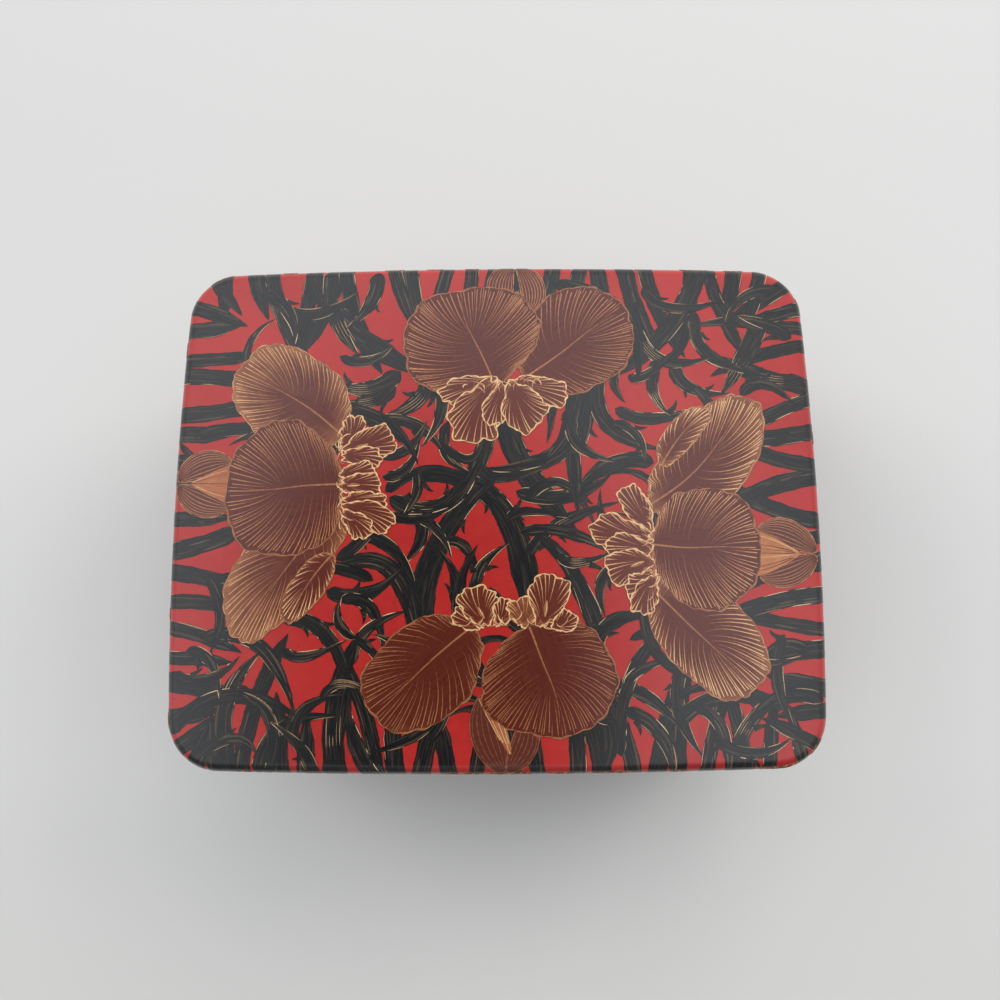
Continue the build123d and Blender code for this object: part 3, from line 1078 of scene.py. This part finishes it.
baseBlades()
strokesPiece("baseBlades", baseBlade, [bladeCoat], "base", paintForm["crease"])
strokesPiece("baseBladeStreaks", baseStreak, [streakCoat], "base")
strokesPiece("baseBladeEdges", baseEdge, [edgeCoat], "base")
print("base blades ready")

# The four flowers. A petal is a disc (u from base to tip, v across) laid along its bent midrib:
# midrib(s) + normal * v * half width, where s = ((u + 1) / 2) ** lean puts the widest place. The places
# and sizes of petals, crest lobes and buds were read off the photograph, in the same way as sweeps.
flowerForm = {
    "stackLift": 0.004,
    "veinLift": 0.0025,
    "veinWidth": (0.13, 0.20),
    "veinGap": 0.95,  # mm between veins along the margin
    "marginWidth": 0.24,
}
petalStore, lobeStore, budStore = newStore(), newStore(), newStore()
veinStore, marginStore = newStore(), newStore()
stacked = [0]


def nextLift():
    stacked[0] += 1
    return pileTop() + stacked[0] * flowerForm["stackLift"]


def petalMap(base, middle, tip, left, right, lean, wave, scallops=24, lens=0.0, narrow=0.0):
    # gives the function from disc places to the lid's plan, with the margin's frill worked in
    midrib = bend(laid(base), laid(middle), laid(tip))
    phase = dice.random(4) * 2 * math.pi

    def place(u, v):
        radius = np.sqrt(u**2 + v**2)
        turn = np.arctan2(v, u)
        frill = 1.2 * np.sin(5 * turn + phase[0]) + 0.8 * np.sin(9 * turn + phase[1])
        frill = frill + 0.4 * np.sin(16 * turn + phase[2])
        frill = frill + 1.3 * np.abs(np.sin(scallops / 2 * turn + phase[3])) - 0.8
        grow = 1 + wave * frill * np.clip(radius, 0, 1) ** 5
        u, v = u * grow, v * grow
        s = np.clip((u + 1) / 2, 0, 1.2) ** lean
        point, normal = midrib(s)
        half = np.where(v > 0, left, right)
        squeeze = 1 - 0.10 * np.clip(-u, 0, 1) ** 2 - lens * np.abs(np.clip(u, -1, 1)) ** 2.5
        squeeze = squeeze - narrow * np.clip(1 - s, 0, 1)
        return point + normal * (v * half * squeeze)[..., None]

    return place


def skinOf(store, place, lift, rings, spokes, shade):
    # rings of the disc from its middle to the margin, closed round, with a skirt at the margin
    turn = np.linspace(0, 2 * math.pi, spokes + 1)
    radius = np.concatenate([np.linspace(0.001, 1, rings), [1.0]])
    u, v = squarer(radius * np.cos(turn)[:, None], radius * np.sin(turn)[:, None])
    lifts = np.broadcast_to(np.where(np.arange(rings + 1) == rings, paintForm["sunk"], lift), u.shape)
    addStroke(store, place(u, v), lifts, np.stack([u, v], -1), shade(u, v), onLid, skirt=False)


def squarer(u, v):
    # a disc drawn slightly towards a square, as full petals are
    power = 2 / 2.25
    radius = np.sqrt(u**2 + v**2)
    turn = np.arctan2(v, u)
    cos, sin = np.cos(turn), np.sin(turn)
    return radius * (np.abs(cos) ** power * np.sign(cos)), radius * (np.abs(sin) ** power * np.sign(sin))


def lineOn(store, place, u, v, lift, width, tone):
    # a line along disc places u, v, its width and tone given at each point
    middle = place(u, v)
    slope = np.gradient(middle, axis=0)
    slope /= np.maximum(np.linalg.norm(slope, axis=-1, keepdims=True), 1e-9)
    normal = np.stack([-slope[:, 1], slope[:, 0]], -1)
    side = np.array([1.0, -1.0])
    half = np.broadcast_to(width, u.shape)[:, None] / 2
    plan = middle[:, None] + normal[:, None] * (half * side)[..., None]
    run = np.concatenate([[0], np.cumsum(np.linalg.norm(np.diff(middle, axis=0), axis=-1))])
    uv = np.stack(np.broadcast_arrays(run[:, None] + dice.random() * 500, side * 0.2), -1)
    tones = np.broadcast_to(tone, u.shape)[:, None] + np.zeros((1, 2))
    addStroke(store, plan, lift, uv, tones, onLid, skirt=False)


def marginRound(place, lift, width, tone, count=150, gap=0.08):
    # the gold line round a petal, uneven in width and missing here and there
    turn = np.linspace(0, 2 * math.pi, count)
    u, v = squarer(np.cos(turn), np.sin(turn))
    uneven = 0.75 + 0.3 * np.sin(7 * turn + dice.random() * 6) + 0.25 * np.sin(19 * turn + dice.random() * 6)
    gone = np.sin(4 * turn + dice.random() * 6) * np.sin(11 * turn + dice.random() * 6) > 1 - gap * 2
    lineOn(marginStore, place, u * 0.992, v * 0.992, lift, width * np.where(gone, 0.12, uneven), tone)


def veinAlong(place, lift, side, share, begin, end, width, strength):
    # One vein: it leaves the midrib at root, leans forward and bows out to the margin,
    # u = root + (endU - root) * q ** 1.7 and v = side * endV * q, faint until near the margin.
    turn = math.pi * (1 - share) * 0.96
    endU, endV = (float(w) for w in squarer(np.cos(turn), np.sin(turn)))
    root = -0.95 + (endU + 0.95) * 0.56
    q = np.linspace(begin, end, 16)
    fade = (q - begin) / (1 - begin)
    u = root + (endU - root) * q**1.7 + 0.006 * np.sin(9 * q + share * 40)
    thinning = np.clip(0.3 + 1.1 * fade, 0, 1) * np.clip((1.02 - q) * 12, 0.4, 1)
    lineOn(veinStore, place, u, side * endV * q, lift, width * thinning, strength * (0.10 + 0.62 * fade))


def fanVeins(place, lift, size, strength):
    for side in (-1, 1):
        count = max(6, int(size * 1.5 * (0.6 + 0.5 * strength) / flowerForm["veinGap"]))
        for k in range(count):
            share = (k + dice.uniform(0.3, 0.7)) / count
            begin = dice.uniform(0.05, 0.3) if k % 2 == 0 else dice.uniform(0.3, 0.6)
            width = dice.uniform(*flowerForm["veinWidth"])
            veinAlong(place, lift, side, share, begin, dice.uniform(0.93, 0.99), width, strength)
            if dice.random() < 0.35:
                share, begin = share + 0.5 / count, dice.uniform(0.6, 0.86)
                veinAlong(place, lift, side, share, begin, 0.99, width * 0.8, strength)


def midribLine(place, lift, width, tone, last=0.8):
    q = np.linspace(-0.97, last, 24)
    lineOn(veinStore, place, q, 0.02 * np.sin(4 * q), lift, width * (1.15 - 0.85 * (q + 1) / 2),
           tone * (0.9 - 0.6 * (q + 1) / 2))


def petal(base, middle, tip, left, right, lean=1.0, wave=0.018, wash=0.0, veins=0.8):
    place = petalMap(base, middle, tip, left, right, lean, wave)
    lift = nextLift()

    def shade(u, v):
        # a tan wash grows towards the margin and tip
        rim = np.clip(np.sqrt(u**2 + v**2), 0, 1) ** 4
        return np.clip(wash * (0.2 + 0.5 * np.clip((u + 1) / 2, 0, 1) + 0.5 * rim) + 0.22 * rim, 0, 1)

    skinOf(petalStore, place, lift, 14, 144, shade)
    fanVeins(place, lift + flowerForm["veinLift"], left + right, veins)
    midribLine(place, lift + 0.003, 0.34, 0.42)
    marginRound(place, lift + 0.0032, flowerForm["marginWidth"] * 1.6, 0.24, 240, 0.3)
    marginRound(place, lift + 0.0036, flowerForm["marginWidth"] * 0.7, 0.40 + 0.5 * wash, 240, 0.45)


def lobe(base, tip, half, wave=0.05, wash=0.12, bean=False):
    # A frilled crest lobe: narrow at its foot, ragged at its end, dark, with a gold edge and fanned strokes.
    base, tip = np.asarray(base, float), np.asarray(tip, float)
    side = np.array([-(tip - base)[1], (tip - base)[0]]) / np.linalg.norm(tip - base)
    middle = (base + tip) / 2 + side * dice.uniform(-0.9, 0.9)
    half = half * 1.35
    place = petalMap(base, middle, tip, half, half, 0.85, wave, 9, narrow=0.42)
    lift = nextLift()
    skinOf(lobeStore, place, lift, 7, 108, lambda u, v: wash + 0.3 * np.clip(np.sqrt(u**2 + v**2), 0, 1) ** 5)
    count = int(6 + half * 2.6)
    for k in range(count):
        turn = (k / (count - 1) * 2 - 1) * 2.2 + dice.uniform(-0.09, 0.09)
        q = np.linspace(0.985, dice.uniform(0.3, 0.8), 9)
        u, v = -0.95 + (np.cos(turn) + 0.95) * q**1.2, np.sin(turn) * q
        width = dice.uniform(0.11, 0.19) * np.linspace(1.3, 0.35, 9)
        lineOn(veinStore, place, u, v, lift + flowerForm["veinLift"], width, np.linspace(0.85, 0.3, 9))
    if bean:
        u = np.linspace(-0.7, -0.1, 9)
        swell = np.sin(np.linspace(0.15, 3.0, 9))
        lineOn(marginStore, place, u, 0.1 + 0.2 * u, lift + 0.003, 0.8 * swell, 0.35)
        lineOn(marginStore, place, u, 0.06 + 0.2 * u, lift + 0.0035, 0.16 * swell, 0.9)
    marginRound(place, lift + 0.0035, 0.32, 0.80, 170, 0.04)
    marginRound(place, lift + 0.0038, 0.12, 1.0, 170, 0.3)


def crestRoot(first, last, count):
    # gold strokes where a crest meets its petals, laid along the join and curling out into the lobes
    first, last = laid(first), laid(last)
    along = (last - first) / np.linalg.norm(last - first)
    out = np.array([along[1], -along[0]])
    lift = nextLift()
    for k in range(count):
        foot = first + (last - first) * (k + dice.uniform(0.2, 0.8)) / count + out * dice.normal(0, 0.35)
        heading = dice.choice([-1, 1])
        end = foot + along * heading * dice.uniform(0.8, 2.4) + out * dice.uniform(0.3, 2.0)
        path = bend(foot, (foot + end) / 2 + along * heading * 0.35 - out * 0.2, end)
        hairline(marginStore, path, pathLength(path), 0.0, 1.0, lambda q: 0 * q, dice.uniform(0.12, 0.30),
                 lift + 0.001 * (k % 4), dice.uniform(0.25, 0.95), onLid)


def bud(base, middle, tip, left, right, stripes=8, wash=0.1, tone=0.34):
    # a closed lobe, lens shaped, with stripes from base to tip: v = c * sqrt(1 - u * u)
    place = petalMap(base, middle, tip, left, right, 1.0, 0.004, lens=0.35)
    lift = nextLift()
    skinOf(budStore, place, lift, 7, 72, lambda u, v: wash + 0.15 * (u + 1) / 2)
    for c in np.linspace(-0.84, 0.84, stripes):
        u = np.linspace(-0.95, dice.uniform(0.8, 0.95), 18)
        v = c * np.sqrt(1 - u**2)
        width = dice.uniform(0.14, 0.24) * np.sin(np.linspace(0.3, 2.9, 18))
        lineOn(veinStore, place, u, v, lift + flowerForm["veinLift"], width, tone)
    marginRound(place, lift + 0.003, 0.22, tone + 0.1, 120, 0.05)


def throat(base, tip, baseHalf, tipHalf, strokes, wash=0.6):
    # The pale funnel from which a bud comes: straight sides from baseHalf to tipHalf, with fanned strokes.
    base, tip = laid(base), laid(tip)
    along = tip - base
    side = np.array([-along[1], along[0]]) / np.linalg.norm(along)
    share, across = np.meshgrid(np.linspace(0, 1, 12), np.linspace(-1, 1, 9), indexing="ij")
    ragged = 1 + 0.05 * np.sin(5 * across * math.pi + 1) * share
    half = lambda t: baseHalf + (tipHalf - baseHalf) * t**1.4
    place = lambda t, v: base + along * t[..., None] + side * (v * half(t))[..., None]
    lift, uv = nextLift(), np.stack([share, across], -1)
    addStroke(budStore, place(share * ragged, across), lift, uv, wash + 0.2 * share, onLid, which=1)
    for v in np.linspace(-0.97, 0.97, strokes):
        t = np.linspace(0.02, dice.uniform(0.75, 1.05), 10)
        width = dice.uniform(0.14, 0.26) * np.linspace(0.5, 1.0, 10)
        tone = dice.choice([0.05, 0.4, 0.7])
        lineOn(veinStore, place, t, v + 0 * t, lift + flowerForm["veinLift"], width, tone)


def topFlower():
    bud((3.2, 40.0), (1.2, 46.0), (3.8, 51.2), 2.8, 2.6)
    bud((6.4, 40.0), (8.0, 45.6), (4.6, 51.2), 2.6, 2.4)
    throat((5.4, 36.0), (4.6, 45.2), 1.6, 0.4, 6, 0.5)
    petal((6.1, 26.6), (16.6, 34.6), (26.6, 41.4), 10.6, 10.2, veins=0.75)
    petal((0.4, 25.2), (-4.4, 35.2), (-7.4, 45.8), 14.2, 13.8, veins=0.8)
    lobe((1.0, 26.2), (-10.9, 22.9), 2.2)
    lobe((0.2, 26.2), (-5.4, 13.6), 4.4)
    lobe((1.8, 25.8), (-0.8, 17.2), 2.2)
    lobe((2.6, 26.0), (14.4, 22.4), 2.6)
    lobe((3.4, 26.2), (8.4, 16.8), 3.8)
    crestRoot((-6.0, 25.6), (9.0, 26.4), 22)


def leftFlower():
    bud((-52.6, 10.0), (-58.6, 10.0), (-63.4, 6.2), 3.4, 2.2)
    bud((-52.6, 0.8), (-58.8, 1.4), (-63.4, 5.4), 2.2, 3.4)
    throat((-52.6, 5.6), (-60.4, 5.7), 3.8, 0.3, 9, 0.5)
    petal((-30.4, 15.2), (-41.4, 23.4), (-52.0, 29.6), 9.6, 9.4, wash=0.5, veins=1.1)
    petal((-30.2, -0.4), (-41.0, -11.4), (-49.6, -25.0), 6.4, 8.8, wash=0.5, veins=1.1)
    petal((-32.0, -8.6), (-36.6, -14.4), (-41.0, -21.4), 3.4, 3.0, wash=0.3, veins=1.4)
    petal((-30.2, 5.6), (-41.8, 4.6), (-53.6, 5.0), 13.4, 13.6, veins=0.75)
    lobe((-30.8, 12.0), (-28.2, 19.2), 2.0)
    lobe((-30.6, 12.0), (-20.2, 14.8), 3.0, bean=True)
    lobe((-30.6, 10.8), (-22.8, 9.8), 2.0)
    lobe((-31.0, 7.4), (-24.0, 8.2), 1.8)
    lobe((-31.0, 5.0), (-22.8, 4.2), 2.4, bean=True)
    lobe((-30.6, 2.0), (-21.6, 0.6), 2.0)
    lobe((-30.4, 0.8), (-20.4, -3.2), 2.4)
    lobe((-30.4, -0.4), (-25.2, -5.2), 2.0)
    crestRoot((-30.8, -3.0), (-31.0, 16.0), 30)


def rightFlower():
    bud((51.4, -4.2), (57.4, -4.4), (62.8, -8.6), 2.2, 3.4)
    bud((51.4, -13.4), (57.4, -13.0), (62.8, -9.4), 3.4, 2.2)
    throat((51.0, -8.8), (59.4, -8.9), 4.4, 0.3, 11, 0.8)
    petal((30.2, 0.6), (42.2, 10.4), (50.4, 22.8), 7.0, 8.4, wash=0.4, veins=1.35)
    petal((33.0, 8.6), (37.2, 15.0), (43.0, 19.8), 3.0, 2.8, wash=0.5, veins=1.4)
    petal((30.2, -15.6), (40.6, -25.8), (49.2, -35.2), 9.2, 7.4, wash=0.3, veins=1.3)
    petal((30.4, -7.2), (41.2, -7.6), (51.8, -8.2), 11.6, 12.0, veins=0.95)
    lobe((30.8, -4.4), (25.4, 4.4), 2.2)
    lobe((30.8, -5.8), (18.9, -3.2), 3.0, bean=True)
    lobe((30.8, -8.0), (21.6, -7.6), 2.4)
    lobe((30.8, -10.2), (21.8, -12.8), 3.0, bean=True)
    lobe((31.0, -12.0), (25.4, -16.2), 2.4)
    lobe((31.0, -13.0), (28.0, -20.4), 2.2)
    crestRoot((30.6, 1.5), (30.8, -18.0), 30)


def bottomFlower():
    bud((-2.6, -35.4), (-1.8, -43.0), (1.4, -49.8), 3.2, 3.0, 6, 0.0, 0.12)
    bud((5.6, -39.0), (5.2, -44.6), (1.8, -49.8), 2.6, 2.4, 6, 0.0, 0.12)
    throat((-1.8, -35.4), (2.4, -46.0), 1.8, 0.4, 7, 0.2)
    petal((-4.6, -22.4), (-14.6, -31.0), (-24.0, -38.8), 9.8, 8.4, wash=0.05, veins=0.6)
    petal((6.0, -22.4), (10.2, -32.6), (12.2, -43.2), 12.4, 13.4, wash=0.0, veins=0.6)
    lobe((-2.4, -22.8), (-8.0, -19.6), 1.7)
    lobe((-1.6, -22.6), (-3.8, -15.0), 3.2, bean=True)
    lobe((0.0, -22.6), (2.2, -17.4), 1.8)
    lobe((4.8, -22.8), (5.0, -17.2), 2.8, wash=0.4)
    lobe((8.6, -22.8), (10.8, -12.8), 3.4, bean=True)
    lobe((10.6, -22.6), (15.0, -20.4), 1.8)
    crestRoot((13.5, -22.6), (-7.0, -22.6), 26)


# Each paint's dark and light colour, and how strongly its growth lines show.
flowerLook = {
    "petalPaint": (fromPicture(80, 27, 15), fromPicture(157, 100, 64), 0.05),
    "crestPaint": (fromPicture(86, 31, 20), fromPicture(163, 101, 64), 0.08),
    "budPaint": (fromPicture(80, 34, 25), fromPicture(122, 72, 50), 0.12),
    "budThroat": (fromPicture(136, 62, 36), fromPicture(174, 112, 66), 0.3),
    "shadow": fromPicture(50, 15, 13),
    "gold": [(0.0, fromPicture(86, 36, 25)), (0.45, fromPicture(160, 104, 68)),
             (0.8, fromPicture(205, 159, 112)), (1.0, fromPicture(226, 188, 138))],
}


def petalPaint(name):
    # Thin brown lacquer over the red, with soft growth lines from base to tip and a tan wash by the tone.
    material, tree, shader = newMaterial(name, 0.34)
    uv, tone = strokePlace(tree)
    dark, light, strength = flowerLook[name]
    grow = add(tree, "ShaderNodeMapping", Vector=uv, Scale=(1.1, 9.0, 1.0)).outputs[0]
    fibre, patch = noiseOf(tree, grow, 2.2, 4.0, 0.6), noiseOf(tree, uv, 2.6, 3.0)
    wash = mask(tree, mathOf(tree, "MULTIPLY", patch, tone), 0.10, 0.0, 0.55, 1.0)
    colour = blendOf(tree, wash, dark, light)
    colour = blendOf(tree, mask(tree, fibre, 0.4, 0.0, 0.75, strength), colour, light)
    colour = blendOf(tree, mask(tree, fibre, 0.25, 0.4, 0.45, 0.0), colour, flowerLook["shadow"])
    surfaceOf(tree, shader, colour, (fibre, 0.3, 0.28, 0.7, 0.42), (0.2, 0.0001, fibre))
    return material


def goldPaint():
    # Gold line paint, brownish where it runs thin and creamy where it is loaded.
    material, tree, shader = newMaterial("goldPaint", 0.32)
    shader.inputs["Metallic"].default_value = 0.15
    uv, tone = strokePlace(tree)
    load = noiseOf(tree, uv, 1.1, 3.0)
    total = mathOf(tree, "ADD", tone, mathOf(tree, "MULTIPLY_ADD", load, 0.7, -0.35), clamp=True)
    surfaceOf(tree, shader, ramp(tree, total, flowerLook["gold"]), (load, 0.3, 0.26, 0.7, 0.4))
    return material


for flower in (topFlower, leftFlower, rightFlower, bottomFlower):
    stacked[0] = 0
    flower()
petalCoat, lobeCoat = petalPaint("petalPaint"), petalPaint("crestPaint")
budCoat, throatCoat, goldCoat = petalPaint("budPaint"), petalPaint("budThroat"), goldPaint()
strokesPiece("lidBuds", budStore, [budCoat, throatCoat], "lid", paintForm["crease"])
strokesPiece("lidPetals", petalStore, [petalCoat], "lid", paintForm["crease"])
strokesPiece("lidCrests", lobeStore, [lobeCoat], "lid", paintForm["crease"])
strokesPiece("lidVeins", veinStore, [goldCoat], "lid")
strokesPiece("lidMargins", marginStore, [goldCoat], "lid")
print("flowers ready")

# Worn places on the lid's rim, where the paint has gone down to the board: place, length and depth in mm.
# They were read off the photograph too.
wornPlaces = [
    (-56.0, 48.0, 5.0, 0.8), (-42.0, 50.0, 3.0, 0.5), (-20.5, 50.0, 4.0, 0.5), (-12.0, 50.0, 3.4, 0.5),
    (-4.5, 50.0, 3.0, 0.6), (41.0, 50.0, 6.0, 0.7), (49.0, 49.6, 4.0, 0.9), (61.8, 42.0, 2.6, 0.6),
    (-6.0, -50.0, 6.0, 0.6), (2.0, -50.0, 9.0, 0.8), (12.0, -50.0, 5.0, 0.6), (22.0, -50.0, 7.0, 0.7),
    (34.0, -50.0, 3.0, 0.5), (53.0, -49.4, 7.0, 1.0), (60.6, -45.6, 4.0, 1.1), (-47.0, -50.0, 3.4, 0.5),
    (-62.0, -40.0, 3.0, 0.6), (-63.2, -20.0, 2.4, 0.5), (63.2, 14.0, 2.6, 0.5), (-62.6, 33.0, 3.2, 0.6),
]
wearLook = (fromPicture(98, 54, 38), fromPicture(182, 128, 92))  # dirty and clean fibres
wearStore = newStore()


def wornEdge(x, y, length, depth):
    # a ragged ribbon along the rim, its inner and outer edge each wandering, thin at both ends
    tries = np.linspace(0, perimeter, 1600)
    middle = tries[np.argmin(np.hypot(*(outlineAt(tries)[0] - np.array([x, y])).T))]
    t = np.linspace(0, 1, int(length * 5) + 6)
    swell = np.sin(np.pi * np.clip(t, 0.02, 0.98)) ** 0.6
    outer = -0.25 * swell + wander(t * length / 4, 0.10)
    inner = outer + depth * swell * (0.8 + wander(t * length / 3, 0.18)) + 0.03
    inset = outer[:, None] + (inner - outer)[:, None] * np.linspace(0, 1, 5)
    run = np.broadcast_to(middle + (t[:, None] - 0.5) * length, inset.shape)
    point, normal = outlineAt(run)
    plan = point - normal * inset[..., None]
    addStroke(wearStore, plan, pileTop(), np.stack([run, inset], -1), dice.random(), onLid)


def wearPaint():
    # bare board and primer: tan with darker, dirty fibres and no gloss
    material, tree, shader = newMaterial("wornBoard", 0.7, coat=0.15, coatRoughness=0.4)
    fibre = noiseOf(tree, objectPlace(tree), 1400.0, 4.0)
    colour = blendOf(tree, mask(tree, fibre, 0.35, 0.0, 0.65, 1.0), *wearLook)
    surfaceOf(tree, shader, colour, (fibre, 0.3, 0.6, 0.7, 0.85))
    return material


for worn in wornPlaces:
    wornEdge(*worn)
strokesPiece("lidWear", wearStore, [wearPaint()], "lid", paintForm["crease"])
print("wear ready")

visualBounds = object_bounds()
asLists = lambda pair: [list(corner) for corner in pair]
{"cad": asLists(cadBounds), "visual": asLists(visualBounds)}
